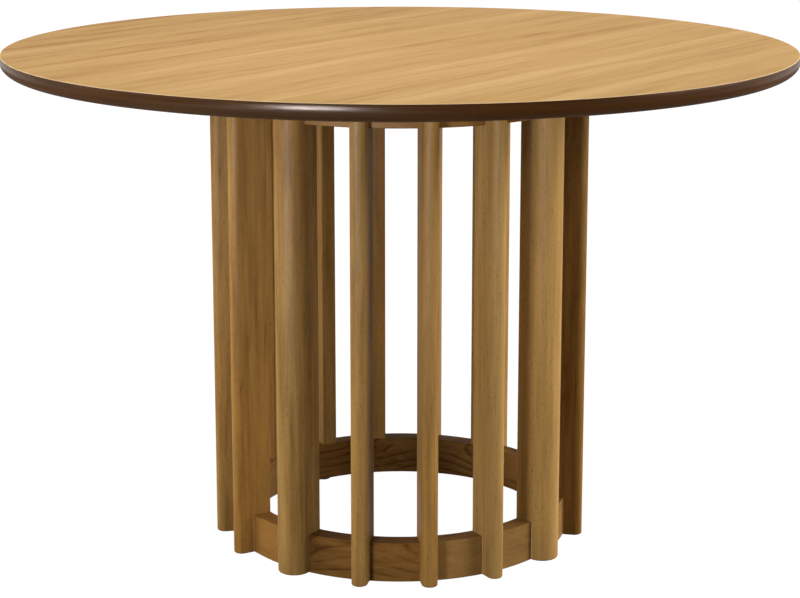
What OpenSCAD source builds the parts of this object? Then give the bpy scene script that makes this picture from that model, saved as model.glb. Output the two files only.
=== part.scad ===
// Round dining table: a veneered top on an open drum of rebated uprights between two rings.
// Millimetres, +Z up. The origin is on the floor, under the centre of the top.
// The veneer's grain runs along X, and the four posts stand on the X and Y axes.

/* [Tabletop] */
// Diameter of the tabletop at its widest
top_d = 1200; // [1000:10:1500]
// Thickness of the finished tabletop, both veneers included
top_t = 25; // [22:1:40]
// Thickness of each face veneer
veneer_t = 0.6; // [0.5:0.1:1.2]
// Depth below the surface at which the rim is widest
nose_depth = 8; // [5:0.5:11]
// How far the underside's edge is set in from the rim
under_set = 17; // [8:1:22]
// How far the veneer's edge is set in from the rim, by the round arris above the widest line
top_ease = 2; // [1:0.25:3]

/* [Lipping] */
// Radial width of the solid wood lipping at the rim's widest
lipping_w = 32; // [26:1:60]
// Length of the lipping's tongue
tongue_l = 8; // [4:1:12]
// Thickness of the lipping's tongue
tongue_t = 8; // [5:0.5:11]
// Room left for glue round the tongue and behind the lipping
glue_gap = 0.1; // [0.05:0.05:0.3]

/* [Drum] */
// Diameter over the noses of the uprights
drum_d = 582; // [500:2:700]
// Height of the uprights, from foot to underside of the top
base_h = 734; // [650:1:800]
// Radial depth of an upright, from its inner face to the tip of its nose
upright_depth = 56; // [53:1:70]
// Thickness of a narrow slat, which is also the width of its round nose
slat_w = 24; // [20:1:32]
// Thickness of a post, which is also the width of its round nose
post_w = 49; // [44:1:56]
// Radius of the eased arrises on an upright's inner face
arris_r = 2; // [0.5:0.25:4]
// Room left for glue between a rebate and the ring
rebate_fit = 0.1; // [0.05:0.05:0.3]

/* [Rings] */
// Radial width of both rings
ring_w = 28; // [25:1:32]
// Height of both rings, and so of the uprights' rebates
ring_h = 60; // [50:1:90]
// Length of the glued fingers that join two ring segments
finger_l = 16; // [12:1:18]
// Number of finger layers in a ring's height
finger_count = 5; // [3:2:5]

/* [Ring screws] */
// Shank diameter of the screws that hold the uprights
screw_d = 4; // [3:0.5:5]
// Head diameter of those screws
screw_head_d = 8; // [7:0.5:9]
// Length of the screw that bites into the upright
screw_bite = 17; // [12:1:19]
// Clearance round a screw in its hole
screw_fit = 0.1; // [0.05:0.05:0.3]

/* [Top bolts] */
// Shank diameter of the bolts that hold the top
bolt_d = 8; // [6:0.5:8]
// Diameter of a bolt's head
bolt_head_d = 13; // [11:0.5:14]
// Height of a bolt's head
bolt_head_h = 5; // [4:0.5:8]
// Width across the flats of the hexagon socket
socket_af = 5; // [4:0.5:6]
// Depth of the hexagon socket
socket_depth = 3; // [2:0.5:3.5]
// Depth of the counterbore in the upper ring
counterbore_depth = 24; // [12:1:30]
// Outer diameter of a washer
washer_d = 16; // [15:0.5:18]
// Thickness of a washer
washer_t = 1.6; // [1:0.2:2.4]
// Outer diameter of a threaded insert
insert_d = 12; // [10:0.5:14]
// Length of a threaded insert
insert_l = 14; // [10:1:16]
// How far the bolt's end stays short of the insert's end
bolt_short = 1.5; // [0.5:0.5:3]
// Clearance of bolts, washers and inserts in their holes, on the radius
bolt_fit = 0.25; // [0.1:0.05:0.4]

/* [Floor glides] */
// Diameter of a floor glide
glide_d = 22; // [16:1:24]
// Thickness of a floor glide
glide_t = 3; // [2:0.5:5]
// Width of the chamfer round a glide's tread
glide_chamfer = 0.8; // [0.4:0.1:1.2]
// Diameter of a glide's nail
nail_d = 2.6; // [2:0.1:3.5]
// Length of a glide's nail
nail_l = 14; // [10:1:18]

/* [Hidden] */
$fn = 96;
quarters = 4;
slats_per_quarter = 3;
slat_count = quarters * slats_per_quarter;
segment_count = 2 * quarters;
segment_deg = 360 / segment_count;
belly_sweep = 71;
belly_steps = 10;
arris_steps = 8;
cut = 1;

top_r = top_d / 2;
core_r = top_r - lipping_w;
core_h = top_t - 2 * veneer_t;
belly_in = under_set / (1 - cos(belly_sweep));
belly_h = (top_t - nose_depth) / sin(belly_sweep);

drum_r = drum_d / 2;
ring_ir = drum_r - upright_depth;
ring_or = ring_ir + ring_w;
ring_mid = ring_ir + ring_w / 2;
lower_z = glide_t;
upper_z = glide_t + base_h - ring_h;
top_z = glide_t + base_h;

quarter_arc = ring_or * PI / 2;
clear_gap = (quarter_arc - post_w - slats_per_quarter * slat_w) / (slats_per_quarter + 1);
first_pitch = arc_deg((post_w + slat_w) / 2 + clear_gap);
pitch = arc_deg(slat_w + clear_gap);
bolt_deg = arc_deg((post_w + clear_gap) / 2);

finger_h = ring_h / finger_count;
finger_reach = asin((finger_l / 2 + cut) / ring_ir);
screw_l = ring_w + screw_bite;
screw_cone = (screw_head_d - screw_d) / 2;
screw_point = screw_d;
post_screw_y = (finger_l + post_w) / 4;
seat_z = upper_z + counterbore_depth;
bolt_l = ring_h - counterbore_depth + washer_t + insert_l - bolt_short;

// Angle that an arc of this length covers on the rings' outer face
function arc_deg(length) = length / ring_or * 180 / PI;

// Direction of slat n, counted round from the first post
function slat_deg(n) =
    floor((n - 1) / slats_per_quarter) * 360 / quarters
    + first_pitch + ((n - 1) % slats_per_quarter) * pitch;

// Odd ring segments run from a post to a middle slat, even ones on to the next post
function starts_at_post(n) = n % 2 == 1;

// Screws of one ring segment, as [angle from its start, offset to the side]
function segment_screws(n) = starts_at_post(n)
    ? [[0, post_screw_y], [first_pitch, 0]]
    : [[0, 0], [pitch, 0], [segment_deg, -post_screw_y]];

// Angle from a segment's start to its top bolt
function segment_bolt(n) = starts_at_post(n) ? bolt_deg : segment_deg - bolt_deg;

// Distance from the axis to the ring's inner face, at this offset to the side
function inner_face_x(side) = sqrt(ring_ir * ring_ir - side * side);

// Half section of the whole tabletop: elliptical arcs below and above the widest line
module top_section() {
    belly = [for (s = [0:belly_steps]) let (t = belly_sweep * (1 - s / belly_steps))
        [top_r - belly_in * (1 - cos(t)), top_t - nose_depth - belly_h * sin(t)]];
    arris = [for (s = [1:arris_steps]) let (t = 90 * s / arris_steps)
        [top_r - top_ease * (1 - cos(t)), top_t - nose_depth * (1 - sin(t))]];
    polygon(concat([[0, 0]], belly, arris, [[0, top_t]]));
}

// The layer of that section between two heights, outside a radius
module top_layer(low, high, from_r = 0) {
    intersection() {
        top_section();
        translate([from_r, low]) square([top_r, high - low]);
    }
}

module top_veneer() {
    color("#d2aa73") translate([0, 0, top_z])
        rotate_extrude() top_layer(top_t - veneer_t, top_t);
}

module backing_veneer() {
    color("#b9935f") translate([0, 0, top_z]) difference() {
        rotate_extrude() top_layer(0, veneer_t);
        insert_holes();
    }
}

module core_board() {
    groove_t = tongue_t + 2 * glue_gap;
    color("#a98a63") translate([0, 0, top_z]) difference() {
        translate([0, 0, veneer_t]) cylinder(r = core_r, h = core_h);
        rotate_extrude()
            translate([core_r - tongue_l - glue_gap, (top_t - groove_t) / 2])
            square([tongue_l + glue_gap + cut, groove_t]);
        insert_holes();
    }
}

// One length of lipping, with a tongue that enters the core's groove
module lipping(n) {
    color("#3a281c") translate([0, 0, top_z]) rotate([0, 0, (n - 1) * segment_deg])
        rotate_extrude(angle = segment_deg) {
            top_layer(veneer_t, top_t - veneer_t, core_r + glue_gap);
            translate([core_r - tongue_l, (top_t - tongue_t) / 2])
                square([tongue_l + glue_gap + cut, tongue_t]);
        }
}

// Finger layers cut away past a joint line at y = 0, where the segment lies towards +y
module finger_cuts(has_middle) {
    for (i = [0:finger_count - 1]) {
        is_finger = ((i - (finger_count - 1) / 2) % 2 == 0) == has_middle;
        low = i == 0 ? -cut : i * finger_h;
        high = i == finger_count - 1 ? ring_h + cut : (i + 1) * finger_h;
        edge = is_finger ? -finger_l / 2 : finger_l / 2;
        translate([ring_ir - 2 * cut, -finger_l, low])
            cube([ring_w + 3 * cut, finger_l + edge, high - low]);
    }
}

// Through hole and countersink for one ring screw, along +x from the ring's inner face
module screw_hole() {
    rotate([0, 90, 0]) {
        translate([0, 0, -cut]) cylinder(d = screw_d + 2 * screw_fit, h = screw_l + cut + screw_fit);
        cylinder(
            d1 = screw_head_d + 2 * screw_fit,
            d2 = screw_d + 2 * screw_fit,
            h = screw_cone
        );
        translate([0, 0, -cut]) cylinder(d = screw_head_d + 2 * screw_fit, h = cut);
    }
}

// A length of ring with finger joints at both ends and its screw holes, standing on z = 0
module ring_segment(n) {
    difference() {
        rotate([0, 0, -finger_reach])
            rotate_extrude(angle = segment_deg + 2 * finger_reach)
            translate([ring_ir, 0]) square([ring_w, ring_h]);
        finger_cuts(true);
        rotate([0, 0, segment_deg]) mirror([0, 1, 0]) finger_cuts(false);
        for (s = segment_screws(n))
            rotate([0, 0, s[0]]) translate([inner_face_x(s[1]), s[1], ring_h / 2]) screw_hole();
    }
}

module lower_ring(n) {
    color("#80603a") rotate([0, 0, (n - 1) * segment_deg]) translate([0, 0, lower_z])
        difference() {
            ring_segment(n);
            rotate([0, 0, segment_deg / 2]) translate([ring_mid, 0, -cut])
                cylinder(d = nail_d + 2 * screw_fit, h = nail_l + cut + screw_fit);
        }
}

module upper_ring(n) {
    color("#80603a") rotate([0, 0, (n - 1) * segment_deg]) translate([0, 0, upper_z])
        difference() {
            ring_segment(n);
            rotate([0, 0, segment_bolt(n)]) translate([ring_mid, 0, -cut]) {
                cylinder(d = washer_d + 2 * bolt_fit, h = counterbore_depth + cut);
                cylinder(d = bolt_d + 2 * bolt_fit, h = ring_h + 2 * cut);
            }
        }
}

// Plan of an upright: a half-round nose outwards and eased arrises inwards
module upright_outline(w) {
    nose_x = drum_r - w / 2;
    translate([ring_ir + arris_r, -w / 2]) square([nose_x - ring_ir - arris_r, w]);
    translate([ring_ir, arris_r - w / 2]) square([nose_x - ring_ir, w - 2 * arris_r]);
    for (side = [-1, 1]) translate([ring_ir + arris_r, side * (w / 2 - arris_r)]) circle(r = arris_r);
    translate([nose_x, 0]) circle(d = w);
}

// An upright along +x, rebated over both rings and coped to their outer face
module upright(w, screw_sides) {
    translate([0, 0, glide_t]) difference() {
        linear_extrude(height = base_h) upright_outline(w);
        translate([0, 0, -cut]) cylinder(r = ring_or + rebate_fit, h = ring_h + cut);
        translate([0, 0, base_h - ring_h]) cylinder(r = ring_or + rebate_fit, h = ring_h + cut);
        for (z = [ring_h / 2, base_h - ring_h / 2], side = screw_sides)
            translate([inner_face_x(side), side, z]) screw_hole();
    }
}

module slat(n) {
    color("#8a6a3c") rotate([0, 0, slat_deg(n)]) upright(slat_w, [0]);
}

module post(n) {
    color("#8f6f41") rotate([0, 0, (n - 1) * 360 / quarters])
        upright(post_w, [-post_screw_y, post_screw_y]);
}

// Countersunk screws driven outwards from the inner face of each ring
module ring_screws() {
    color("#b8b4a4")
        for (z = [lower_z + ring_h / 2, upper_z + ring_h / 2], n = [1:segment_count])
            for (s = segment_screws(n))
                rotate([0, 0, (n - 1) * segment_deg + s[0]])
                    translate([inner_face_x(s[1]), s[1], z]) rotate([0, 90, 0])
                    rotate_extrude() polygon([
                        [0, 0], [screw_head_d / 2, 0], [screw_d / 2, screw_cone],
                        [screw_d / 2, screw_l - screw_point], [0, screw_l]
                    ]);
}

// Children placed at each top bolt's axis
module at_bolts() {
    for (n = [1:segment_count])
        rotate([0, 0, (n - 1) * segment_deg + segment_bolt(n)])
            translate([ring_mid, 0, 0]) children();
}

module insert_holes() {
    at_bolts() translate([0, 0, -cut]) cylinder(d = insert_d + 2 * bolt_fit, h = insert_l + cut);
}

// Socket head bolts, up through the upper ring into the inserts
module top_bolts() {
    color("#6e6c68") at_bolts() translate([0, 0, seat_z - washer_t]) difference() {
        union() {
            translate([0, 0, -bolt_head_h]) cylinder(d = bolt_head_d, h = bolt_head_h);
            cylinder(d = bolt_d, h = bolt_l);
        }
        translate([0, 0, -bolt_head_h - cut])
            cylinder(d = socket_af / cos(30), h = socket_depth + cut, $fn = 6);
    }
}

module bolt_washers() {
    color("#9a9890") at_bolts() translate([0, 0, seat_z - washer_t]) difference() {
        cylinder(d = washer_d, h = washer_t);
        translate([0, 0, -cut]) cylinder(d = bolt_d + 2 * bolt_fit, h = washer_t + 2 * cut);
    }
}

module threaded_inserts() {
    color("#b8b4a4") at_bolts() translate([0, 0, top_z]) difference() {
        cylinder(d = insert_d, h = insert_l);
        translate([0, 0, -cut]) cylinder(d = bolt_d + 2 * bolt_fit, h = insert_l + 2 * cut);
    }
}

// Nail-on glides under the lower ring, one to a segment
module floor_glides() {
    color("#2c2a28")
        for (n = [1:segment_count])
            rotate([0, 0, (n - 0.5) * segment_deg]) translate([ring_mid, 0, 0])
                rotate_extrude() polygon([
                    [0, 0], [glide_d / 2 - glide_chamfer, 0], [glide_d / 2, glide_chamfer],
                    [glide_d / 2, glide_t], [nail_d / 2, glide_t],
                    [nail_d / 2, glide_t + nail_l - nail_d], [0, glide_t + nail_l]
                ]);
}

top_veneer();
core_board();
backing_veneer();
for (n = [1:segment_count]) {
    lipping(n);
    upper_ring(n);
    lower_ring(n);
}
for (n = [1:slat_count]) slat(n);
for (n = [1:quarters]) post(n);
ring_screws();
top_bolts();
bolt_washers();
threaded_inserts();
floor_glides();
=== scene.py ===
# %% [markdown]
# # A round dining table on an open drum of slats
#
# The table is an oak veneered disc with a dark stained rim. It stands on a drum: twelve narrow slats and
# four thick posts, all with a half-round nose outwards, housed over two rings of finger jointed segments.
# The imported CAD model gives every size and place, in metres, with +Z up and the origin on the floor under
# the middle of the top. This file keeps that frame and dresses it: it rebuilds the timber with the small
# roundings that a planer and sandpaper leave, and it gives each surface the finish of the real one.

# %% Load the frame
import math

import bmesh
import bpy
import numpy as np
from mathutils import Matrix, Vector


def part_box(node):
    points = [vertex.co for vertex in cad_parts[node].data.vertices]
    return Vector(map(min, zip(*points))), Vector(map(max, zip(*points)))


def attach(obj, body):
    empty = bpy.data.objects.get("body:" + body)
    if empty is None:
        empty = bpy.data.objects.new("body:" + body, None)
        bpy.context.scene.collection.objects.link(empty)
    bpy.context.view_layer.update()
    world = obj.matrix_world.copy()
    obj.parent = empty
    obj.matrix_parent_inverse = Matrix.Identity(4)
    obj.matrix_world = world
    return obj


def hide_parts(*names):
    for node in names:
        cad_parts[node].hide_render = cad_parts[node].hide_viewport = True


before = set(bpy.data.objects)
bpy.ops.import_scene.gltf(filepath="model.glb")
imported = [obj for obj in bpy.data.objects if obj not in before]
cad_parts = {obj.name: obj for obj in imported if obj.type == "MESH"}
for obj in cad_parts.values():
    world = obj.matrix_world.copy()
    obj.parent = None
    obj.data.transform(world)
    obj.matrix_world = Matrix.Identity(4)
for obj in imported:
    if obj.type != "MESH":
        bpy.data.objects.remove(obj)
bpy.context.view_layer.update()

# %% [markdown]
# ## Sizes taken from the frame
#
# A maker would put a rule on the finished carcase. Here the rule is a CAD node's own vertices: their
# distance from the table's axis and their height tell the radii and levels, so that a change in the model
# carries through. The alternative, to write the sizes again, would let the two drift apart.

# %% Measure the nodes
MM = 0.001


def node_points(node):
    """A CAD node's vertices as rows of x, y, z."""
    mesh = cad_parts[node].data
    flat = np.empty(3 * len(mesh.vertices))
    mesh.vertices.foreach_get("co", flat)
    return flat.reshape(-1, 3)


def radial_span(node):
    """Least and greatest distance of a node's vertices from the table's axis."""
    distance = np.hypot(*node_points(node)[:, :2].T)
    return distance.min(), distance.max()


def turned(points, angle):
    """Points turned about the Z axis: x cos a - y sin a, x sin a + y cos a."""
    x, y, z = np.moveaxis(np.asarray(points, float), -1, 0)
    return np.stack([x * np.cos(angle) - y * np.sin(angle), x * np.sin(angle) + y * np.cos(angle), z], -1)


POSTS = 4
SLATS_BETWEEN = 3
SEGMENTS = 8
segment_angle = 2 * np.pi / SEGMENTS

ring_in, ring_out = radial_span("lower_ring_1")
lower_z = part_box("lower_ring_1")[0][2]
upper_z, top_z = (corner[2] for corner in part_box("upper_ring_1"))
ring_h = top_z - upper_z
drum_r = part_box("post_1")[1][0]
post_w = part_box("post_1")[1][1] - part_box("post_1")[0][1]
slat_w = np.ptp(turned(node_points("slat_2"), -segment_angle)[:, 1])
rim_r = radial_span("lipping_1")[1]
face_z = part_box("top_veneer")[1][2]
veneer_t = face_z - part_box("top_veneer")[0][2]
core_r = radial_span("core_board")[1]
under_r = radial_span("backing_veneer")[1]
print(f"ring {ring_in:.4f} to {ring_out:.4f}, posts {post_w:.4f}, slats {slat_w:.4f}, rim {rim_r:.4f}")

# %% [markdown]
# ## From numbers to a mesh
#
# Every new piece is a grid of points, or a few grids, worked out by numpy. One function puts such an
# array into a mesh. It merges points that fall together, turns all faces outwards and keeps hard corners
# hard, so the formulas that follow only have to say where the surface is.

# %% Join points into faces


def grid_quads(rows, columns, closed=False):
    """Corner numbers of the quads between neighbouring points of a grid.

    closed joins the last column to the first."""
    row, column = np.meshgrid(np.arange(rows - 1), np.arange(columns - (not closed)), indexing="ij")
    after = (column + 1) % columns
    return np.stack([row * columns + column, row * columns + after,
                     (row + 1) * columns + after, (row + 1) * columns + column], -1).reshape(-1, 4)


def tube_faces(rows, columns):
    """Faces of a stack of closed loops: the quads between them, and a polygon over each end."""
    ends = [list(range(columns)), list(range((rows - 1) * columns, rows * columns))]
    return grid_quads(rows, columns, closed=True).tolist() + ends


print("a grid of 3 by 4 points has", len(grid_quads(3, 4)), "quads")

# %% Make a piece
MERGE = 0.001 * MM

pieces = {}


def make_piece(name, points, faces, replaced, sharp_deg=35, log=None, stain=0.0, grey=0.0):
    """A mesh piece on the root body that stands for CAD nodes.

    For each point, log holds where it lay in the tree, stain how much deeper than usual the wood took the
    stain, with painted shade on a few boards and painted light on one, and grey how much cooler than its
    trunk the board is, partly as a painted sheen."""
    mesh = bpy.data.meshes.new(name)
    mesh.from_pydata(points.reshape(-1, 3).tolist(), [], [list(face) for face in faces])
    if log is not None:
        mesh.attributes.new("log", "FLOAT_VECTOR", "POINT").data.foreach_set("vector", log.ravel())
        for label, level in (("stain", stain), ("grey", grey)):
            levels = np.broadcast_to(np.ravel(level), len(mesh.vertices)).astype(np.float32)
            mesh.attributes.new(label, "FLOAT", "POINT").data.foreach_set("value", levels)
    shell = bmesh.new()
    shell.from_mesh(mesh)
    bmesh.ops.remove_doubles(shell, verts=shell.verts, dist=MERGE)
    bmesh.ops.recalc_face_normals(shell, faces=shell.faces)
    shell.to_mesh(mesh)
    shell.free()
    mesh.polygons.foreach_set("use_smooth", np.ones(len(mesh.polygons), bool))
    mesh.set_sharp_from_angle(angle=math.radians(sharp_deg))
    piece = bpy.data.objects.new(name, mesh)
    bpy.context.scene.collection.objects.link(piece)
    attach(piece, "root")
    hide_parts(*replaced)
    pieces[name] = piece
    return piece


print("points within", round(MERGE / MM, 4), "mm are merged")

# %% [markdown]
# ## The oak face
#
# The face is a 0.6 mm sheet of oak veneer pressed on a board, and the rim's rounding runs on into its
# edge. A flat disc would do from above, but its edge catches the light along the whole rim, so the sheet
# is a body turned from its half section, like a plate on a lathe.

# %% Turn the face veneer
NOSE_DEPTH = 8 * MM
EDGE_IN = 2 * MM
EDGE_POINTS = 7
FLAT_RINGS = 8
TURN_STEPS = 288


def arris_section(low, high, steps):
    """Points on the rim's upper quarter ellipse between two heights.

    r = rim - in (1 - cos t), z = face - nose (1 - sin t)."""
    first, last = (np.arcsin(1 - (face_z - level) / NOSE_DEPTH) for level in (low, high))
    t = np.linspace(first, last, steps)
    return np.stack([rim_r - EDGE_IN * (1 - np.cos(t)), face_z - NOSE_DEPTH * (1 - np.sin(t))], -1)


def turned_body(section, angles):
    """A half section of (r, z) points carried round the axis: x = r cos a, y = r sin a, z = z."""
    r, z = section[None, :, 0], section[None, :, 1]
    a = angles[:, None]
    return np.stack([r * np.cos(a), r * np.sin(a), z + 0 * a], -1)


edge = arris_section(face_z - veneer_t, face_z, EDGE_POINTS)
flat_r = np.linspace(edge[-1, 0], 0, FLAT_RINGS + 1)[1:]
flat = np.stack([flat_r, np.full(FLAT_RINGS, face_z)], -1)
section = np.concatenate([[[0, face_z - veneer_t]], edge, flat])
points = turned_body(section, np.linspace(0, 2 * np.pi, TURN_STEPS + 1))
make_piece("oak_face", points, grid_quads(*points.shape[:2]), ["top_veneer"])
print("oak face radius", round(edge[0, 0], 4), "flat to", round(edge[-1, 0], 4))

# %% [markdown]
# ## The rim
#
# The lipping is solid wood, glued round the core in eight lengths with a tongue in the core's groove,
# then shaped by a spindle moulder: a tight quarter ellipse above the widest line, and a long one below
# that draws the edge in and makes the top look thin. Each length is the section carried along its arc,
# with a closed end at each joint.

# %% Draw the rim's section
BELLY_SWEEP = math.radians(71)
BELLY_POINTS = 16
ARRIS_POINTS = 9
TONGUE_L = 8 * MM
TONGUE_T = 8 * MM
GLUE = 0.1 * MM

low_z = top_z + veneer_t
mid_z = (top_z + face_z) / 2
inner_r = core_r + GLUE
belly_in = (rim_r - under_r) / (1 - math.cos(BELLY_SWEEP))
belly_h = (face_z - NOSE_DEPTH - top_z) / math.sin(BELLY_SWEEP)


def belly_section(steps):
    """The belly's ellipse up to the widest line: r = rim - in (1 - cos t), z = widest - height sin t."""
    t = np.linspace(np.arcsin((face_z - NOSE_DEPTH - low_z) / belly_h), 0, steps)
    return np.stack([rim_r - belly_in * (1 - np.cos(t)), face_z - NOSE_DEPTH - belly_h * np.sin(t)], -1)


tongue = np.array([
    [inner_r, face_z - veneer_t], [inner_r, mid_z + TONGUE_T / 2], [core_r - TONGUE_L, mid_z + TONGUE_T / 2],
    [core_r - TONGUE_L, mid_z - TONGUE_T / 2], [inner_r, mid_z - TONGUE_T / 2], [inner_r, low_z],
])
arris = arris_section(face_z - NOSE_DEPTH, face_z - veneer_t, ARRIS_POINTS)
rim_section = np.concatenate([belly_section(BELLY_POINTS), arris[1:], tongue])
print("rim section points", len(rim_section))

# %% Shape the rim
RIM_STEPS = 48
LENGTHS_APART = 3.1
PITH_BELOW = 45 * MM
PITH_STEP = 6 * MM
PITH_INSIDE = 60 * MM


def rim_length(number):
    """One length of lipping, its grain bent to the arc: along = radius x angle, across = z, through = r."""
    angles = np.linspace(number - 1, number, RIM_STEPS + 1) * segment_angle
    points = turned_body(rim_section, angles)
    log = np.stack(np.broadcast_arrays(
        rim_r * angles[:, None] + LENGTHS_APART * number,
        rim_section[None, :, 1] - face_z + PITH_BELOW + PITH_STEP * (number % 3),
        rim_section[None, :, 0] - rim_r + PITH_INSIDE), -1)
    return make_piece(f"rim_{number}", points, tube_faces(*points.shape[:2]), [f"lipping_{number}"],
                      log=log)


for number in range(1, SEGMENTS + 1):
    rim_length(number)
print("rim lengths", SEGMENTS)

# %% [markdown]
# ## The rings
#
# Each ring is eight short boards, sawn to an arc and glued end to end with fingers in five layers. The
# grain stays straight in each board, so it runs out of the curved faces. A segment could be cut from a
# solid with booleans. It is simpler to think of it as blocks between finger layers and angular columns: a
# block is missing where the neighbour's finger goes, and a face lies wherever a block has no neighbour.

# %% Find a board's place in a trunk
SEED = 7
TRUNKS_L = 40
TRUNK_R = 90 * MM
PITH_CLEAR = 20 * MM

chance = np.random.default_rng(SEED)


def log_place(along, across, through, least=PITH_CLEAR):
    """Where a board's points lay in the tree: distance along the trunk, and two distances from its pith.

    The larger least is, the more the board was sawn from the trunk's side, where its lines run parallel."""
    from_pith = chance.uniform([least, PITH_CLEAR], [TRUNK_R, TRUNK_R - least]) * chance.choice([-1, 1], 2)
    return np.stack(np.broadcast_arrays(
        along + chance.uniform(0, TRUNKS_L), across + from_pith[0], through + from_pith[1]), -1)


print("seed", SEED)

# %% Soften the arrises
ARRIS_SEGMENTS = 3


def soften_arrises(piece, width):
    """Rounds the long arrises of a ring.

    They are the edges on its top and underside whose two ends share their distance from the axis."""
    mesh = piece.data
    ends = np.empty(2 * len(mesh.edges), int)
    mesh.edges.foreach_get("vertices", ends)
    flat = np.empty(3 * len(mesh.vertices))
    mesh.vertices.foreach_get("co", flat)
    points = flat.reshape(-1, 3)
    radius = np.hypot(points[:, 0], points[:, 1])[ends.reshape(-1, 2)]
    z = points[:, 2][ends.reshape(-1, 2)]
    outer = np.isclose(z, points[:, 2].min()) | np.isclose(z, points[:, 2].max())
    long = np.isclose(radius[:, 0], radius[:, 1]) & outer.all(1) & np.isclose(z[:, 0], z[:, 1])
    weight = mesh.attributes.new("bevel_weight_edge", "FLOAT", "EDGE")
    weight.data.foreach_set("value", long.astype(np.float32))
    bevel = piece.modifiers.new("arris", "BEVEL")
    bevel.limit_method = "WEIGHT"
    bevel.width = width
    bevel.segments = ARRIS_SEGMENTS
    bevel.harden_normals = True
    return long.sum()


# %% Stack a segment's blocks
FINGER_L = 16 * MM
LAYERS = 5
COLUMNS = 20


def segment_points(number, low):
    """Corners of the blocks, by inner or outer face, level and step of angle.

    The first and last steps are fingers, from half a finger before the joint's middle to half after it."""
    radius = np.array([ring_in, ring_out])[:, None, None]
    reach = np.arcsin(FINGER_L / 2 / radius)
    middle = np.linspace(0, 1, COLUMNS - 1)[None, None, :]
    inner_angles = reach + (segment_angle - 2 * reach) * middle
    angle = np.concatenate([-reach, inner_angles, segment_angle + reach], 2) + (number - 1) * segment_angle
    z = (low + ring_h * np.arange(LAYERS + 1) / LAYERS)[None, :, None]
    return np.stack(np.broadcast_arrays(radius * np.cos(angle), radius * np.sin(angle), z), -1)


def segment_faces():
    """Corner numbers of the faces. Layers have their finger at one end and the other in turn."""
    own = (np.arange(LAYERS) - LAYERS // 2) % 2 == 0
    solid = np.ones((LAYERS, COLUMNS), bool)
    solid[:, 0], solid[:, -1] = own, ~own
    corner = np.arange(2 * (LAYERS + 1) * (COLUMNS + 1)).reshape(2, LAYERS + 1, COLUMNS + 1)
    skins = np.stack([
        corner[:, :-1, :-1], corner[:, :-1, 1:], corner[:, 1:, 1:], corner[:, 1:, :-1]], -1)[:, solid]
    between_layers = np.diff(np.pad(solid, ((1, 1), (0, 0))), axis=0)
    level = np.stack([
        corner[0, :, :-1], corner[1, :, :-1], corner[1, :, 1:], corner[0, :, 1:]], -1)[between_layers]
    between_columns = np.diff(np.pad(solid, ((0, 0), (1, 1))), axis=1)
    upright = np.stack([corner[0, :-1], corner[1, :-1], corner[1, 1:], corner[0, 1:]], -1)[between_columns]
    return np.concatenate([skins.reshape(-1, 4), level, upright])


print("faces of a segment", len(segment_faces()))

# %% Build the ring segments
RING_ARRIS = 1.4 * MM
RING_PITH = 50 * MM
END_STAIN = 0.12
# The stain at the two ends of some segments. On the back segments 1, 2 and 8 the deeper stain is
# painted shade on the back ring's inner face; on 5 and 6 it is the wood's own tone
SEGMENT_STAIN_AND_SHADE = {("lower", 5): (0.48, 0.0), ("lower", 6): (-0.15, -0.02), ("lower", 1): (0.3, 0.32),
              ("lower", 2): (0.3, 0.2), ("lower", 8): (0.1, 0.25)}


def ring_segment(name, number, low):
    """A segment whose grain runs straight, along the tangent at its middle. Returns its softened edges."""
    points = segment_points(number, low)
    used, faces = np.unique(segment_faces(), return_inverse=True)
    board = turned(points, -(number - 0.5) * segment_angle).reshape(-1, 3)[used]
    log = log_place(board[:, 1], board[:, 2] - low, board[:, 0] - ring_in, least=RING_PITH)
    level_name = name.split("_")[0]
    ends = SEGMENT_STAIN_AND_SHADE.get((level_name, number), chance.uniform(-END_STAIN, END_STAIN, 2))
    stain = np.interp(board[:, 1], [board[:, 1].min(), board[:, 1].max()], ends)
    piece = make_piece(f"{name}_{number}", points.reshape(-1, 3)[used], faces.reshape(-1, 4),
                       [f"{level_name}_ring_{number}"], log=log, stain=stain)
    return soften_arrises(piece, RING_ARRIS)


softened = 0
for number in range(1, SEGMENTS + 1):
    softened += ring_segment("upper_segment", number, upper_z)
    softened += ring_segment("lower_segment", number, lower_z)
print("ring segments", 2 * SEGMENTS, "with", softened, "softened edges")

# %% [markdown]
# ## The uprights
#
# Slats and posts share one form: a board on edge whose outer edge is turned to a half round, as wide as
# the board is thick. At both ends the inner part is cut away, so that the upright stands over the ring
# and its shoulder sits on it. An extruded outline with booleans would work, but a stack of outlines says
# it more directly: the same number of points at each level, with the inner ones moved to the ring's face
# in the housings and drawn in at the foot.

# %% Space the uprights
HOUSING_GAP = 0.1 * MM

cope_r = ring_out + HOUSING_GAP
quarter_arc = ring_out * np.pi / 2
clear_gap = (quarter_arc - post_w - SLATS_BETWEEN * slat_w) / (SLATS_BETWEEN + 1)
first_pitch = ((post_w + slat_w) / 2 + clear_gap) / ring_out
pitch = (slat_w + clear_gap) / ring_out
print(f"clear gap {clear_gap:.4f}, pitch {math.degrees(pitch):.2f} degrees")

# %% Draw an upright's outlines
ARRIS = 2 * MM
COPE_CHAMFER = 0.9 * MM
WORN_EDGE = 1.4 * MM
NOSE_STEPS = 28
ARRIS_STEPS = 4
SIDE_START = 4 * MM
SIDE_POINTS = 4


def outer_outline(half, nose):
    """From one cope corner round the nose to the other.

    Straight sides, and between them x = centre + nose sin t, y = -nose cos t."""
    t = np.linspace(0, np.pi, NOSE_STEPS + 1)
    centre = drum_r - half
    arc = np.stack([centre + nose * np.sin(t), -nose * np.cos(t)], -1)
    corner_x = math.sqrt(cope_r**2 - nose**2) + COPE_CHAMFER
    side = np.array([[corner_x, -nose], [corner_x + WORN_EDGE, -nose]])
    return np.concatenate([side, arc, (side * [1, -1])[::-1]])


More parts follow.
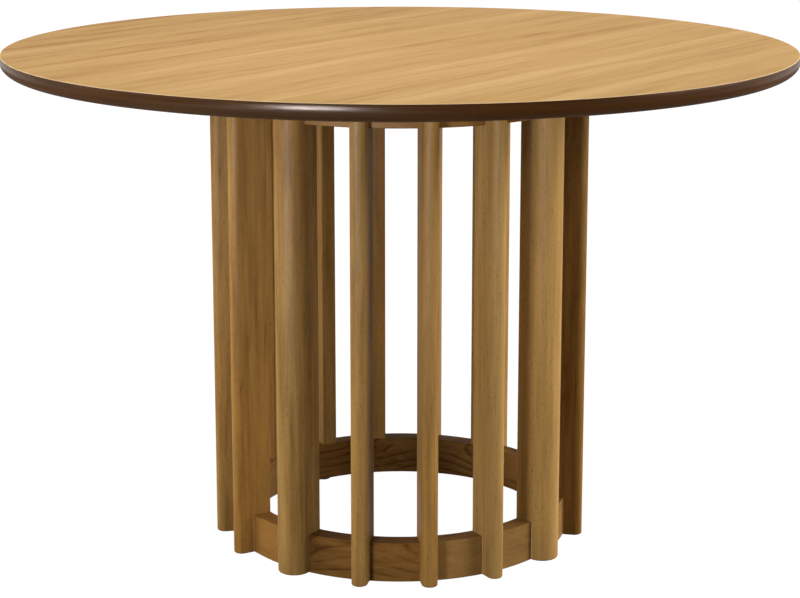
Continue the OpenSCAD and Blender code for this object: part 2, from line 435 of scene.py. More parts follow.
def inner_outline(nose):
    """The inner edge between the two cope corners: side, quarter circle, flat, quarter circle, side."""
    t = np.linspace(0, np.pi / 2, ARRIS_STEPS + 1)
    side_x = np.linspace(cope_r - SIDE_START, ring_in + ARRIS, SIDE_POINTS)[:-1]
    side = np.stack([side_x, np.full(SIDE_POINTS - 1, nose)], -1)
    turn = np.stack([ring_in + ARRIS * (1 - np.sin(t)), nose - ARRIS * (1 - np.cos(t))], -1)
    half_way = np.concatenate([side, turn])
    return np.concatenate([half_way, (half_way * [1, -1])[::-1]])


def coped_outline(nose, count):
    """The same number of points along the ring's face: x = r cos a, y = r sin a, after a small chamfer."""
    reach = np.arcsin((nose - COPE_CHAMFER) / cope_r)
    a = np.linspace(reach, -reach, count)
    return np.stack([cope_r * np.cos(a), cope_r * np.sin(a)], -1)


print("points round a nose", len(outer_outline(slat_w / 2, slat_w / 2)))

# %% List an upright's levels
FOOT_ROUND = 2.5 * MM
FOOT_STEPS = 4
WORN_FROM = 2 * MM
WORN_STAIN = -1.2


def upright_levels(half):
    """From the foot up: height, nose radius, whether the inner side is coped, and the stain at the corners.

    The foot is a quarter circle: z = round (1 - sin a), nose = half - round (1 - cos a)."""
    t = np.linspace(np.pi / 2, 0, FOOT_STEPS + 1)
    foot = [(lower_z + FOOT_ROUND * (1 - math.sin(a)), half - FOOT_ROUND * (1 - math.cos(a))) for a in t]
    below, above = lower_z + ring_h, upper_z
    return [(z, nose, True, WORN_STAIN) for z, nose in foot] + [
        (below - WORN_FROM, half, True, WORN_STAIN), (below, half, True, 0), (below, half, False, 0),
        (above, half, False, 0), (above, half, True, 0), (above + WORN_FROM, half, True, WORN_STAIN),
        (top_z, half, True, WORN_STAIN)]


print("levels of an upright", len(upright_levels(slat_w / 2)))

# %% Build slats and posts
STAIN_SPREAD = 0.1
# Boards darker or lighter than most: slat_10 darker as painted shade, post_4 lighter as painted light
BOARD_STAIN_SHADE_AND_LIGHT = {"post_3": 0.08, "post_4": -0.22, "slat_5": 0.14, "slat_7": 0.1, "slat_8": 0.06,
               "slat_9": -0.14, "slat_10": 0.28}
# Boards cooler or warmer than their trunk, partly to stand in for the pale sheen on lit noses
BOARD_GREY_AND_SHEEN = {"post_3": 0.22, "slat_5": -0.1, "slat_6": -0.15, "slat_7": 0.18, "slat_9": 0.3}


def upright(name, number, direction, width, node):
    """Outlines stacked from the rounded foot to the top's underside, turned to the upright's direction."""
    half = width / 2
    inner = inner_outline(half)
    loops, worn = [], []
    for z, nose, is_coped, stain in upright_levels(half):
        back = coped_outline(nose, len(inner)) if is_coped else inner
        outer = outer_outline(half, nose)
        loop = np.concatenate([outer, back])
        loops.append(np.column_stack([loop, np.full(len(loop), z)]))
        at_corner = np.isin(np.arange(len(loop)), [0, len(outer) - 1, len(outer), len(loop) - 1])
        worn.append(np.where(at_corner, stain, 0.0))
    local = np.array(loops)
    log = log_place(local[..., 2], local[..., 1], local[..., 0] - ring_in)
    depth = np.array(worn) + BOARD_STAIN_SHADE_AND_LIGHT.get(node, chance.uniform(-STAIN_SPREAD, STAIN_SPREAD))
    return make_piece(f"{name}_{number}", turned(local, direction), tube_faces(*local.shape[:2]), [node],
                      log=log, stain=depth, grey=BOARD_GREY_AND_SHEEN.get(node, 0.0))


for number in range(1, POSTS + 1):
    upright("round_post", number, (number - 1) * np.pi / 2, post_w, f"post_{number}")
for number in range(1, POSTS * SLATS_BETWEEN + 1):
    quarter, place = divmod(number - 1, SLATS_BETWEEN)
    direction = quarter * np.pi / 2 + first_pitch + place * pitch
    upright("round_slat", number, direction, slat_w, f"slat_{number}")
print("uprights", sum(name.startswith("round_") for name in pieces))

# %% [markdown]
# ## The ring screws
#
# The screws go through the rings from inside, where they show between the slats. What the eye finds on a
# screw head is its cross recess, so each head is a polar grid whose depth dips along two bars, and the
# cone, shank and point follow as more rings of the same grid. One screw is worked out and copied to forty
# places by array arithmetic.

# %% Shape one screw
SCREW_R = 2 * MM
SCREW_L = 45 * MM
POINT_L = 4 * MM
HEAD_R = 4 * MM
HEAD_CONE = 2 * MM
HEAD_EDGE = 0.1 * MM
RECESS_R = 2.3 * MM
RECESS_BAR = 0.55 * MM / 1.4
RECESS_DEPTH = 2 * MM
HEAD_RINGS = 10
HEAD_STEPS = 40


def one_screw():
    """Along +x from the head: rings of (radius, depth).

    Inside the head the depth is a cross that tapers outwards. It is deepest where |y| or |z| is within
    RECESS_BAR, and ends at twice that."""
    head = np.linspace(0, HEAD_R, HEAD_RINGS + 1)
    body = np.array([[HEAD_R, HEAD_EDGE], [SCREW_R, HEAD_CONE], [SCREW_R, SCREW_L - POINT_L], [0, SCREW_L]])
    radius = np.concatenate([head, body[:, 0]])[:, None]
    a = np.linspace(0, 2 * np.pi, HEAD_STEPS, endpoint=False)[None, :]
    y, z = radius * np.cos(a), radius * np.sin(a)
    bar = np.clip(2 - np.minimum(np.abs(y), np.abs(z)) / RECESS_BAR, 0, 1)
    dip = RECESS_DEPTH * bar * np.clip(1 - radius / RECESS_R, 0, 1)
    depth = np.where(np.arange(len(radius))[:, None] < len(head), dip, 0)
    depth = depth + np.concatenate([0 * head, body[:, 1]])[:, None]
    return np.stack([depth, y, z], -1)


screw = one_screw()
print("points of one screw", screw[..., 0].size)

# %% Drive the screws
# Two in a post, each halfway between the finger joint's end and the post's side, and one in a slat
post_offset = (FINGER_L + post_w) / 4
at_posts = [(q * np.pi / 2, side) for q in range(POSTS) for side in (-post_offset, post_offset)]
at_slats = [(q * np.pi / 2 + first_pitch + j * pitch, 0.0)
            for q in range(POSTS) for j in range(SLATS_BETWEEN)]
direction, side = np.array(at_posts + at_slats).T
start = np.stack([np.sqrt(ring_in**2 - side**2), side, 0 * side], -1)
levels = np.array([lower_z, upper_z]) + ring_h / 2
placed = turned(screw[None] + start[:, None, None], direction[:, None, None])
placed = placed[None] + np.array([0, 0, 1]) * levels[:, None, None, None, None]
count = screw[..., 0].size
quads = grid_quads(*screw.shape[:2], closed=True)
faces = (quads[None] + count * np.arange(placed[..., 0].size // count)[:, None, None]).reshape(-1, 4)
make_piece("crosshead_screws", placed, faces, ["ring_screws"], sharp_deg=40)
print("screws", placed[..., 0].size // count)

# %% [markdown]
# ## How a material is written
#
# Colours are written as the sRGB codes that a paint chart gives, and one function turns them to the
# linear values that light adds up in. One more function adds a node: its properties by name, and its
# sockets by name or number, each with a value or the node that feeds it. Patterns work in millimetres, so
# each number is a size on the wood.

# %% Write colours and add nodes


def colour(code):
    """An sRGB hex colour as linear red, green, blue and alpha."""
    srgb = np.array([int(code[i:i + 2], 16) for i in (1, 3, 5)]) / 255
    return (*np.where(srgb <= 0.04045, srgb / 12.92, ((srgb + 0.055) / 1.055) ** 2.4), 1.0)


def add_node(tree, kind, inputs=None, stops=None, **settings):
    """Adds a shader node. An input is a value, a socket, or a node whose first active output feeds it."""
    node = tree.nodes.new("ShaderNode" + kind)
    for name, value in settings.items():
        setattr(node, name, value)
    for key, value in (inputs or {}).items():
        socket = node.inputs[key] if isinstance(key, int) else next(
            s for s in node.inputs if s.name == key and s.enabled)
        if isinstance(value, bpy.types.Node):
            value = next(s for s in value.outputs if s.enabled)
        if isinstance(value, bpy.types.NodeSocket):
            tree.links.new(value, socket)
        else:
            socket.default_value = value
    for _ in range(len(stops or []) - 2):
        node.color_ramp.elements.new(0.5)
    for element, (place, tone) in zip(node.color_ramp.elements if stops else [], stops or []):
        element.position = place
        element.color = colour(tone) if isinstance(tone, str) else (tone, tone, tone, 1)
    return node


print("mid grey #808080 is", round(float(colour("#808080")[0]), 3), "in linear light")

# %% Start a material and give it to pieces


def new_material(name, **constants):
    """A material with its Principled shader; constants are set on the shader's own sockets."""
    material = bpy.data.materials.new(name)
    material.use_nodes = True
    shader = material.node_tree.nodes["Principled BSDF"]
    for socket, value in constants.items():
        shader.inputs[socket.replace("_", " ")].default_value = value
    return material, material.node_tree, shader


def finish_with(material, *names):
    """Gives the material to pieces and CAD nodes by name."""
    for name in names:
        mesh = (pieces.get(name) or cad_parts[name]).data
        mesh.materials.clear()
        mesh.materials.append(material)


print("pieces to finish", len(pieces))

# %% [markdown]
# ## Oak veneer
#
# The face is crown cut oak: leaves about 150 mm wide, laid side by side with the grain along X, then a
# matt clear lacquer. To the eye that is a warm straw colour, a paler strip along one side of each leaf,
# long soft streaks, and darker tongues where the cut met the growth rings flat. The rings of a trunk are
# cylinders about its pith, so the figure is the distance from a pith line under each leaf, bent by slow
# noise. Open pores are 0.3 mm wide, too fine for this view, and are drawn at 0.9 mm.

# %% Lay out the leaves
LEAF_W = 148.5
LEAF_JOINT_Y = 122.0
LEAVES_APART = 7.3


def leaf_places(tree):
    """Millimetres along the grain (x) and across it (y). A leaf's number and the share of it passed are the
    whole and the fraction of (joint - y) / width."""
    place = add_node(tree, "TexCoord").outputs["Object"]
    mm = add_node(tree, "VectorMath", {0: place, 3: 1000.0}, operation="SCALE")
    axis = add_node(tree, "SeparateXYZ", {0: mm})
    from_joint = add_node(tree, "Math", {0: LEAF_JOINT_Y, 1: axis.outputs["Y"]}, operation="SUBTRACT")
    leaves = add_node(tree, "Math", {0: from_joint, 1: LEAF_W}, operation="DIVIDE")
    leaf = add_node(tree, "Math", {0: leaves}, operation="FLOOR")
    share = add_node(tree, "Math", {0: leaves}, operation="FRACT")
    luck = add_node(tree, "TexWhiteNoise", {"W": leaf}, noise_dimensions="1D")
    luck_xyz = add_node(tree, "SeparateXYZ", {0: luck.outputs["Color"]})
    apart = add_node(tree, "Math", {0: leaf, 1: LEAVES_APART}, operation="MULTIPLY")
    return {"mm": mm, "x": axis.outputs["X"], "y": axis.outputs["Y"], "leaf": leaf, "share": share,
            "apart": apart, "luck": luck_xyz}


print("veneer leaves of", LEAF_W, "mm, with a joint at y =", LEAF_JOINT_Y, "mm")

# %% Draw the oak's rings
SLOW_L, SLOW_W = 260.0, 60.0
WANDER = 16.0
PITH_DEPTHS = 25.0, 60.0
OAK_TAPER = 0.022
OAK_RING = 7.5


def veneer_figure(tree, at):
    """Slow wander of the grain, and rings by the distance from the pith, sqrt(across^2 + depth^2), plus the
    trunk's taper."""
    slow_place = add_node(tree, "CombineXYZ", {
        0: add_node(tree, "Math", {0: at["x"], 1: SLOW_L}, operation="DIVIDE"),
        1: add_node(tree, "Math", {0: at["y"], 1: SLOW_W}, operation="DIVIDE"), 2: at["apart"]})
    slow = add_node(tree, "TexNoise", {"Vector": slow_place, "Scale": 1.0, "Detail": 3.0, "Roughness": 0.55})
    wander = add_node(tree, "MapRange", {0: slow, 3: -WANDER, 4: WANDER})
    across = add_node(tree, "MapRange", {0: at["share"], 3: -0.42 * LEAF_W, 4: 0.58 * LEAF_W})
    across = add_node(tree, "Math", {0: across, 1: wander}, operation="ADD")
    depth = add_node(tree, "MapRange", {0: at["luck"].outputs["X"], 3: PITH_DEPTHS[0], 4: PITH_DEPTHS[1]})
    flat_cut = add_node(tree, "CombineXYZ", {0: across, 1: depth})
    pith = add_node(tree, "VectorMath", {0: flat_cut}, operation="LENGTH")
    taper = add_node(tree, "Math", {0: at["x"], 1: OAK_TAPER, 2: pith.outputs["Value"]},
                     operation="MULTIPLY_ADD")
    rings = add_node(tree, "Math", {0: taper, 1: OAK_RING}, operation="DIVIDE")
    ring = add_node(tree, "Math", {0: rings}, operation="FRACT")
    ring_tone = add_node(tree, "ValToRGB", {0: ring}, stops=[
        (0.0, 0.45), (0.35, 0.2), (0.85, 0.75), (1.0, 0.45)])
    return slow, wander, ring_tone


print("growth rings every", OAK_RING, "mm from the pith")

# %% Draw the oak's streaks
# Name, stretch along the grain, waves per millimetre across it, and octaves
OAK_STREAKS = [("band", 0.05, 0.025, 2.0), ("wide", 0.045, 0.07, 3.0), ("fine", 0.045, 0.3, 2.0),
               ("wisp", 0.14, 0.26, 2.0), ("pore", 0.1, 1.1, 1.0)]


def veneer_noise(tree, at, wander):
    """Noise drawn out along the grain: bands 40 mm wide, streaks of 14 and 3 mm, short wisps and pores."""
    bent_y = add_node(tree, "Math", {0: at["y"], 1: wander}, operation="ADD")
    noise = {}
    for part, along, scale, detail in OAK_STREAKS:
        short_x = add_node(tree, "Math", {0: at["x"], 1: along}, operation="MULTIPLY")
        drawn = add_node(tree, "CombineXYZ", {0: short_x, 1: bent_y, 2: at["apart"]})
        noise[part] = add_node(tree, "TexNoise", {
            "Vector": drawn, "Scale": scale, "Detail": detail, "Roughness": 0.6})
    return noise


print("streak widths", [round(1 / streak[2], 1) for streak in OAK_STREAKS], "mm")

# %% Paint a highlight on the veneer's edge and stain it
EDGE_HIGHLIGHT = 597.0, 598.2
EDGE_STAINED = 598.6, 598.8


def veneer_edge(tree, mm, shade):
    """Colour by the distance from the table's axis, sqrt(x^2 + y^2).

    The sheet's rounded edge gets a pale painted highlight, where its lacquer catches the light,
    and the stain of the rim runs up to it."""
    level = add_node(tree, "VectorMath", {0: mm, 1: (1, 1, 0)}, operation="MULTIPLY")
    reach = add_node(tree, "VectorMath", {0: level}, operation="LENGTH").outputs["Value"]
    at_rim = add_node(tree, "MapRange", {0: reach, 1: EDGE_STAINED[0], 2: EDGE_STAINED[1]})
    # A pale painted highlight along the sheet's rounded edge
    edge_highlight_mask = add_node(tree, "MapRange", {0: reach, 1: EDGE_HIGHLIGHT[0], 2: EDGE_HIGHLIGHT[1], 4: 0.8})
    edge_highlight = add_node(tree, "Mix", {"Factor": edge_highlight_mask, "A": shade, "B": colour("#ebcfa6")}, data_type="RGBA")
    stained = add_node(tree, "Mix", {"Factor": at_rim, "A": edge_highlight.outputs[2], "B": colour("#4a3422")},
                       data_type="RGBA")
    return stained.outputs[2]


print("the rim's stain starts", EDGE_STAINED[0], "mm from the axis")

# %% Mix the oak veneer


def oak_veneer():
    """Object coordinates in millimetres, and one tone that adds up rings, bands, streaks, wisps and pores."""
    material, tree, shader = new_material("oak_veneer_matt_lacquer", Specular_IOR_Level=0.1)
    at = leaf_places(tree)
    slow, wander, ring_tone = veneer_figure(tree, at)
    noise = veneer_noise(tree, at, wander)
    pore = add_node(tree, "ValToRGB", {0: noise["pore"]}, stops=[(0.62, 0.0), (0.74, 1.0)])
    wisp = add_node(tree, "ValToRGB", {0: noise["wisp"]}, stops=[(0.6, 0.0), (0.7, 1.0)])
    grouped = add_node(tree, "MapRange", {0: slow, 1: 0.5, 2: 0.62})
    wisp = add_node(tree, "Math", {0: wisp, 1: grouped}, operation="MULTIPLY")

    # The paler strip after each joint, and the darker middle of the leaf
    strip = add_node(tree, "ValToRGB", {0: at["share"]}, stops=[
        (0.0, 0.35), (0.02, 0.0), (0.16, 0.1), (0.24, 0.5), (0.45, 0.62), (0.97, 0.6), (1.0, 0.5)])
    # Each leaf a little darker than the one before towards +Y: painted shade, the top darker on its far side
    tone = add_node(tree, "Math", {0: at["leaf"], 1: -0.04}, operation="MULTIPLY")
    for part, low, high in [
            (strip, -0.18, 0.18), (noise["band"], -0.45, 0.45), (noise["wide"], -0.5, 0.5),
            (noise["fine"], -0.32, 0.32), (ring_tone, -0.12, 0.12), (at["luck"].outputs["Y"], -0.06, 0.06),
            (wisp, 0.0, 0.2), (pore, 0.5, 0.62)]:
        part = add_node(tree, "MapRange", {0: part, 3: low, 4: high})
        tone = add_node(tree, "Math", {0: part, 1: tone}, operation="ADD")
    shade = add_node(tree, "ValToRGB", {0: tone}, stops=[
        (0.0, "#dfb87d"), (0.35, "#d4aa6e"), (0.6, "#cba165"), (0.8, "#bd9057"), (1.0, "#a67a44")])
    tree.links.new(veneer_edge(tree, at["mm"], shade), shader.inputs["Base Color"])

    sheen = add_node(tree, "MapRange", {0: noise["wide"], 3: 0.62, 4: 0.74})
    tree.links.new(sheen.outputs[0], shader.inputs["Roughness"])
    relief = add_node(tree, "Math", {0: noise["fine"], 1: pore}, operation="SUBTRACT")
    bump = add_node(tree, "Bump", {"Height": relief, "Strength": 0.25, "Distance": 0.08 * MM})
    tree.links.new(bump.outputs[0], shader.inputs["Normal"])
    return material


finish_with(oak_veneer(), "oak_face", "backing_veneer")
print("materials", [material.name for material in bpy.data.materials])

# %% [markdown]
# ## Stained hardwood
#
# The drum is a pale, fine hardwood under a golden brown spirit stain and satin lacquer. Stain soaks
# deeper into the open pores and the soft early wood, so it darkens them, and it lies in slow clouds where
# the wood took it unevenly. Each board was sawn from its own part of a trunk. The attribute "log" says
# where every point of a board lay there, so rings, pores and fibres run right through the board and meet
# at its corners, as they do in solid wood. Two more attributes tell the boards apart: "stain" is how deep
# the colour went, and falls where an arris was rubbed through, and "grey" makes a board cooler or warmer.
# On a few boards "stain" also holds painted shade or painted light, and "grey" a painted sheen.
# The pores are 0.3 mm wide and are drawn at about 1 mm, so that they show. Undersides stay duller,
# because they are sprayed once and not rubbed.

# %% Draw the hardwood's figure
WOOD_TAPER = 0.012
WOOD_RING = 9.0
WOOD_STREAKS = [("slow", 0.18, 0.03, 2.0), ("cloud", 0.12, 0.045, 3.0), ("streak", 0.03, 0.14, 2.0),
                ("fibre", 0.035, 0.55, 3.0), ("pore", 0.13, 0.95, 1.0), ("trunk", 0.25, 0.004, 0.0)]


def log_noise(tree, mm):
    """Noise drawn out along the trunk, from slow bends and clouds to streaks, fibres and pores."""
    noise = {}
    for part, along, scale, detail in WOOD_STREAKS:
        drawn = add_node(tree, "VectorMath", {0: mm, 1: (along, 1.0, 1.0)}, operation="MULTIPLY")
        noise[part] = add_node(tree, "TexNoise", {
            "Vector": drawn, "Scale": scale, "Detail": detail, "Roughness": 0.6})
    return noise


def late_wood(tree, mm, noise, bend):
    """The dark side of each ring, from the distance to a pith line that slow noise bends, plus the taper."""
    centred = add_node(tree, "VectorMath", {0: noise["slow"].outputs["Color"], 1: (0.5, 0.5, 0.5)},
                       operation="SUBTRACT")
    push = add_node(tree, "VectorMath", {0: centred, 1: (0.0, bend, bend)}, operation="MULTIPLY")
    bent = add_node(tree, "VectorMath", {0: mm, 1: push}, operation="ADD")
    along = add_node(tree, "SeparateXYZ", {0: bent}).outputs["X"]
    across = add_node(tree, "VectorMath", {0: bent, 1: (0.0, 1.0, 1.0)}, operation="MULTIPLY")
    from_pith = add_node(tree, "VectorMath", {0: across}, operation="LENGTH").outputs["Value"]
    taper = add_node(tree, "Math", {0: along, 1: WOOD_TAPER, 2: from_pith}, operation="MULTIPLY_ADD")
    years = add_node(tree, "Math", {0: taper, 1: WOOD_RING}, operation="DIVIDE")
    ring = add_node(tree, "Math", {0: years}, operation="FRACT")
    late = add_node(tree, "ValToRGB", {0: ring}, stops=[
        (0.0, 0.5), (0.09, 0.0), (0.74, 0.15), (0.94, 1.0), (1.0, 0.5)])
    clear = add_node(tree, "MapRange", {0: noise["cloud"], 1: 0.42, 2: 0.68, 3: 0.15, 4: 1.0})
    return add_node(tree, "Math", {0: late, 1: clear}, operation="MULTIPLY")


print("growth rings every", WOOD_RING, "mm from the pith")

# %% Spray the lacquer
DULLER_BELOW = 0.4
CLOUDY = 0.1


def satin_lacquer(tree, shader, noise, pore, roughness):
    """Rougher where the clouds lie and on faces that look down, with relief = fibres - pores."""
    facing = add_node(tree, "SeparateXYZ", {0: add_node(tree, "NewGeometry").outputs["Normal"]}).outputs["Z"]
    dull = add_node(tree, "MapRange", {0: facing, 1: 0.0, 2: -0.3, 3: 0.0, 4: DULLER_BELOW})
    sheen = add_node(tree, "MapRange", {
        0: noise["cloud"], 1: 0.3, 2: 0.7, 3: roughness, 4: roughness + CLOUDY})
    sheen = add_node(tree, "Math", {0: sheen, 1: dull}, operation="ADD")
    tree.links.new(sheen.outputs[0], shader.inputs["Roughness"])
    relief = add_node(tree, "Math", {0: noise["fibre"], 1: pore}, operation="SUBTRACT")
    bump = add_node(tree, "Bump", {"Height": relief, "Strength": 0.3, "Distance": 0.12 * MM})
    tree.links.new(bump.outputs[0], shader.inputs["Normal"])


print("undersides are rougher by", DULLER_BELOW)

# %% Mix the stained hardwood
PORE_SHARE = 0.55


def stained_wood(name, worn, pale, middle, dark, pore_colour, rings, bend, mottle, roughness, gloss):
    """Log coordinates in millimetres: x along the trunk, y and z from the pith.

    rings and mottle weigh the figure, and bend is how far slow noise moves the pith."""
    material, tree, shader = new_material(name, Specular_IOR_Level=gloss)
    log = add_node(tree, "Attribute", attribute_name="log")
    stain = add_node(tree, "Attribute", attribute_name="stain").outputs["Fac"]
    grey = add_node(tree, "Attribute", attribute_name="grey").outputs["Fac"]
    mm = add_node(tree, "VectorMath", {0: log.outputs["Vector"], 3: 1000.0}, operation="SCALE")
    noise = log_noise(tree, mm)
    deeper = add_node(tree, "MapRange", {0: stain, 1: -0.15, 2: 0.5, 3: 0.15, 4: 1.3})
    line = add_node(tree, "Math", {0: late_wood(tree, mm, noise, bend), 1: deeper}, operation="MULTIPLY")

    # The tone starts from the stain attribute, which holds painted shade or painted light on a few boards
    tone = stain
    for part, low, high in [
            (line, 0.5 - 0.1 * rings, 0.5 + 0.4 * rings), (noise["cloud"], -0.45 * mottle, 0.45 * mottle),
            (noise["streak"], -0.4 * mottle, 0.4 * mottle), (noise["fibre"], -0.3 * mottle, 0.3 * mottle)]:
        part = add_node(tree, "MapRange", {0: part, 3: low, 4: high})
        tone = add_node(tree, "Math", {0: part, 1: tone}, operation="ADD")
    shade = add_node(tree, "ValToRGB", {0: tone}, stops=[(0.06, pale), (0.5, middle), (0.95, dark)])
    # Where an arris was rubbed through, the attribute falls far below zero and the bare wood shows
    rubbed = add_node(tree, "MapRange", {0: stain, 1: -0.3, 2: -0.9})
    shade = add_node(tree, "Mix", {"Factor": rubbed, "A": shade, "B": colour(worn)}, data_type="RGBA")
    pore = add_node(tree, "ValToRGB", {0: noise["pore"]}, stops=[(0.63, 0.0), (0.72, 1.0)])
    fleck = add_node(tree, "Math", {0: pore, 1: PORE_SHARE}, operation="MULTIPLY")
    wood = add_node(tree, "Mix", {"Factor": fleck, "A": shade.outputs[2], "B": colour(pore_colour)},
                    data_type="RGBA")
    # Boards come from several trunks, some warmer and some greyer; on a few, grey adds a painted sheen
    trunk = add_node(tree, "Math", {0: noise["trunk"], 1: grey}, operation="ADD")
    tint = add_node(tree, "ValToRGB", {0: trunk}, stops=[(0.35, "#fff5e2"), (0.65, "#f6faff")])
    wood = add_node(tree, "Mix", {"Factor": 1.0, "A": wood.outputs[2], "B": tint}, data_type="RGBA",
                    blend_type="MULTIPLY")
    tree.links.new(wood.outputs[2], shader.inputs["Base Color"])
    satin_lacquer(tree, shader, noise, pore, roughness)
    return material


print("pores take", PORE_SHARE, "of their own colour")

# %% Stain the boards
upright_wood = stained_wood(
    "stained_hardwood_uprights", worn="#cfae7c", pale="#a9844c", middle="#926f3d", dark="#704f27",
    pore_colour="#553819", rings=0.6, bend=30.0, mottle=0.85, roughness=0.5, gloss=0.06)
ring_wood = stained_wood(
    "stained_hardwood_rings", worn="#b08b59", pale="#96713f", middle="#7e5b30", dark="#4c3114",
    pore_colour="#4a3016", rings=1.3, bend=12.0, mottle=0.5, roughness=0.55, gloss=0.05)
rim_wood = stained_wood(
    "dark_stained_lipping_satin", worn="#6a4a2c", pale="#4d3215", middle="#3e260d", dark="#2b1907",
    pore_colour="#1d1105", rings=0.4, bend=34.0, mottle=0.8, roughness=0.22, gloss=0.06)
finish_with(upright_wood, *[name for name in pieces if name.startswith("round_")])
finish_with(ring_wood, *[name for name in pieces if "segment" in name])
finish_with(rim_wood, *[name for name in pieces if name.startswith("rim_")])
print("stained pieces", sum(name.startswith(("round_", "rim_")) or "segment" in name for name in pieces))

# %% [markdown]
# ## Board, steel and plastic
#
# The core is medium density fibreboard: felted fibres, flat and matt. Screws, washers and inserts are
# zinc plated steel with a faint yellow passivation and the fine circles of the lathe. The bolts are black
# oxide steel, darker and softer in the light. The glides are moulded nylon, with the fine grain of a
# spark eroded mould.

# %% Mix the hardware finishes


def speckled(name, dark, light, grain_mm, relief_mm, low_rough, high_rough, **constants):
    """A finish with one even grain: noise of a real size mixes two colours and sets roughness and relief."""
    material, tree, shader = new_material(name, **constants)
    place = add_node(tree, "TexCoord").outputs["Object"]
    grain = add_node(tree, "TexNoise", {"Vector": place, "Scale": 1 / (grain_mm * MM), "Detail": 3.0})
    shade = add_node(tree, "ValToRGB", {0: grain}, stops=[(0.3, dark), (0.7, light)])
    tree.links.new(shade.outputs[0], shader.inputs["Base Color"])
    rough = add_node(tree, "MapRange", {0: grain, 1: 0.3, 2: 0.7, 3: low_rough, 4: high_rough})
    tree.links.new(rough.outputs[0], shader.inputs["Roughness"])
    bump = add_node(tree, "Bump", {"Height": grain, "Strength": 0.4, "Distance": relief_mm * MM})
    tree.links.new(bump.outputs[0], shader.inputs["Normal"])
    return material


finish_with(speckled("fibreboard", "#8f7350", "#b0946a", 0.8, 0.05, 0.8, 0.95), "core_board")
finish_with(speckled("zinc_plated_steel", "#a9a38f", "#c9c4b2", 0.6, 0.01, 0.28, 0.42, Metallic=1.0),
            "crosshead_screws", "bolt_washers", "threaded_inserts")
finish_with(speckled("black_oxide_steel", "#232220", "#34322f", 0.4, 0.01, 0.4, 0.55, Metallic=0.8),
            "top_bolts")
finish_with(speckled("moulded_nylon", "#191817", "#242321", 0.5, 0.03, 0.5, 0.65), "floor_glides")
print("materials", len(bpy.data.materials))

# %% [markdown]
# ## Floor and light
#
# The table was photographed on white. Its round noses face every way, so their brightness tells where the
# light came from: a low bank on the left, a narrow strip beside the camera, a wide light on the right,
# and a soft one over the top. Low lamps with grids light the drum from near by, and higher ones stand
# further off, so that the top shades the drum from them. Two cards light nothing and show only as
# reflections: they give the rim its bright line and the lacquer its sheen. A single large light would be
# simpler, but the noses would then fade evenly from one side to the other.
#
# The floor shows white to the camera and to reflections, and still takes the table's shadow: it is a pale
# diffuse surface that gives off just enough light of its own for those rays. The fill from all round is a
# little warm, as if a wooden floor and the table's own wood had coloured it.

# %% Lay the pale floor
FLOOR_HALF = 15.0
FLOOR_GLOW = 0.98
FLOOR_COLOUR = (0.1, 0.1, 0.1, 1)


def seen_by_eye(tree):
    """1 for rays of the camera and for reflected and refracted rays, 0 for the light that falls on things."""
    path = add_node(tree, "LightPath")
    mirrored = add_node(tree, "Math", {
        0: path.outputs["Is Glossy Ray"], 1: path.outputs["Is Transmission Ray"]}, operation="MAXIMUM")
    return add_node(tree, "Math", {0: path.outputs["Is Camera Ray"], 1: mirrored}, operation="MAXIMUM")


def pale_floor():
    """A big square under the glides; from below it lets the camera through."""
    corners = FLOOR_HALF * np.array([[-1, -1, 0], [1, -1, 0], [1, 1, 0], [-1, 1, 0]])
    mesh = bpy.data.meshes.new("floor")
    mesh.from_pydata(corners.tolist(), [], [[0, 1, 2, 3]])
    floor = bpy.data.objects.new("floor", mesh)
    bpy.context.scene.collection.objects.link(floor)
    material, tree, shader = new_material("pale_floor", Base_Color=FLOOR_COLOUR, Roughness=1.0)
    shader.inputs["Specular IOR Level"].default_value = 0.0
    glow = add_node(tree, "Emission", {"Strength": add_node(
        tree, "Math", {0: seen_by_eye(tree), 1: FLOOR_GLOW}, operation="MULTIPLY")})
    lit = add_node(tree, "AddShader", {0: shader, 1: glow})
    below = add_node(tree, "NewGeometry").outputs["Backfacing"]
    both = add_node(tree, "MixShader", {0: below, 1: lit, 2: add_node(tree, "BsdfTransparent")})
    tree.links.new(both.outputs[0], tree.nodes["Material Output"].inputs["Surface"])
    mesh.materials.append(material)


pale_floor()
print("floor", 2 * FLOOR_HALF, "m square")

# %% Make a softbox
TOP_LEVEL = 0.7


def softbox(name, azimuth_deg, height_deg, distance, width, tall, share, fan_deg=180, aim_z=TOP_LEVEL,
            diffuse=True, gloss=True):
    """An area light that hangs in a direction from a point on the table's axis and faces that point.

    Its power is share x (pi x distance)^2. fan_deg narrows its beam, as a grid does. A beam of half angle h
    is stronger in the middle by 1 / (1 - h / tan h), which is taken out of its power. Without gloss it leaves
    no reflection, and without diffuse it leaves only that."""
    a, e = math.radians(azimuth_deg), math.radians(height_deg)
    aim = Vector((0, 0, aim_z))
    lamp = bpy.data.lights.new(name, "AREA")
    lamp.shape = "RECTANGLE"
    lamp.size, lamp.size_y = width, tall
    half_fan = math.radians(fan_deg) / 2
    lamp.spread = 2 * half_fan
    lamp.energy = share * (math.pi * distance) ** 2 * (1 - half_fan / math.tan(half_fan))
    hung = bpy.data.objects.new(name, lamp)
    towards = Vector((math.cos(a) * math.cos(e), math.sin(a) * math.cos(e), math.sin(e)))
    hung.location = aim + distance * towards
    hung.visible_camera = False
    hung.visible_diffuse, hung.visible_glossy = diffuse, gloss
    hung.rotation_euler = (aim - hung.location).to_track_quat("-Z", "Y").to_euler()
    bpy.context.scene.collection.objects.link(hung)


print("softboxes face the axis at", TOP_LEVEL, "m unless told otherwise")

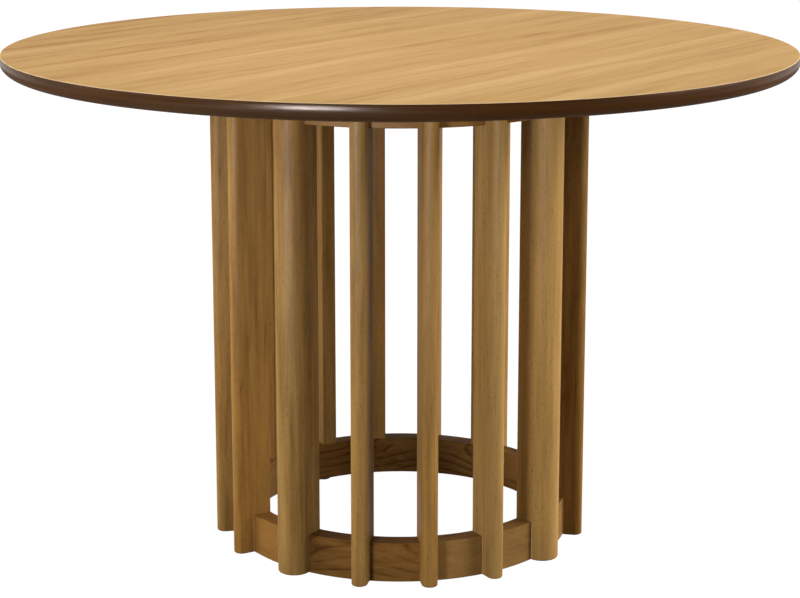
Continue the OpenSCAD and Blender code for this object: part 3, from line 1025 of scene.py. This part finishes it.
# %% Hang the softboxes
softbox("left_bank", 122, 3, 2.6, 1.4, 0.7, 0.75, fan_deg=60, aim_z=0.6, gloss=False)
softbox("left_strip", 190, 5, 2.8, 0.5, 0.7, 0.74, fan_deg=60, aim_z=0.4, gloss=False)
softbox("left_high", 134, 20, 8.0, 7.0, 2.0, 0.3)
softbox("right_bank", 290, 5, 2.6, 1.2, 0.7, 0.58, fan_deg=60, aim_z=0.35, gloss=False)
softbox("right_strip", 326, 5, 2.6, 1.0, 0.7, 0.35, fan_deg=60, aim_z=0.4, gloss=False)
softbox("right_high", 310, 20, 8.0, 7.0, 2.6, 1.0, gloss=False)
softbox("back_fill", 78, 9, 9.0, 4.5, 4.0, 0.35, gloss=False)
softbox("over_top", 180, 65, 1.5, 1.0, 1.0, 0.4, fan_deg=80)
softbox("low_card", 194, -3, 3.0, 0.5, 0.6, 14.0, fan_deg=14, diffuse=False)
softbox("high_card", 308, 19, 8.0, 5.5, 2.6, 0.4, diffuse=False)

# %% Fill from all round
SKY_FILL = (0.23, 0.205, 0.17, 1)

world = bpy.data.worlds.new("studio")
bpy.context.scene.world = world
world.use_nodes = True
sky = world.node_tree
fill = add_node(sky, "Mix", {"Factor": seen_by_eye(sky), "A": SKY_FILL, "B": (1, 1, 1, 1)}, data_type="RGBA")
sky.links.new(fill.outputs[2], sky.nodes["Background"].inputs["Color"])
bpy.context.scene.view_settings.view_transform = "Standard"
print("fill", SKY_FILL[:3])

# %% [markdown]
# ## The camera
#
# The camera's place was worked out from the photograph: the rim's ellipse gives its height, and the
# ring's ellipses and the slight lean of the uprights give its distance and lens. It looks past the axis
# between a post and the next, so no upright hides the one behind. The lens is shifted down a little, as a
# product photographer does to keep the uprights upright.

# %% Set the camera
CAMERA_AZIMUTH = math.radians(216.1)
CAMERA_DISTANCE = 3.0672
CAMERA_HEIGHT = 1.1303
CAMERA_DIP = 0.1989
LENS_MM = 91.01
LENS_SHIFT = -0.115

camera = bpy.data.objects.new("camera", bpy.data.cameras.new("camera"))
camera.data.sensor_width = 36
camera.data.lens = LENS_MM
camera.data.shift_y = LENS_SHIFT
camera.data.clip_end = 100
outwards = Vector((math.cos(CAMERA_AZIMUTH), math.sin(CAMERA_AZIMUTH), 0))
camera.location = CAMERA_DISTANCE * outwards + Vector((0, 0, CAMERA_HEIGHT))
gaze = -outwards * math.cos(CAMERA_DIP) - Vector((0, 0, math.sin(CAMERA_DIP)))
camera.rotation_euler = gaze.to_track_quat("-Z", "Y").to_euler()
bpy.context.scene.collection.objects.link(camera)
bpy.context.scene.camera = camera
print("camera at", [round(v, 4) for v in camera.location])
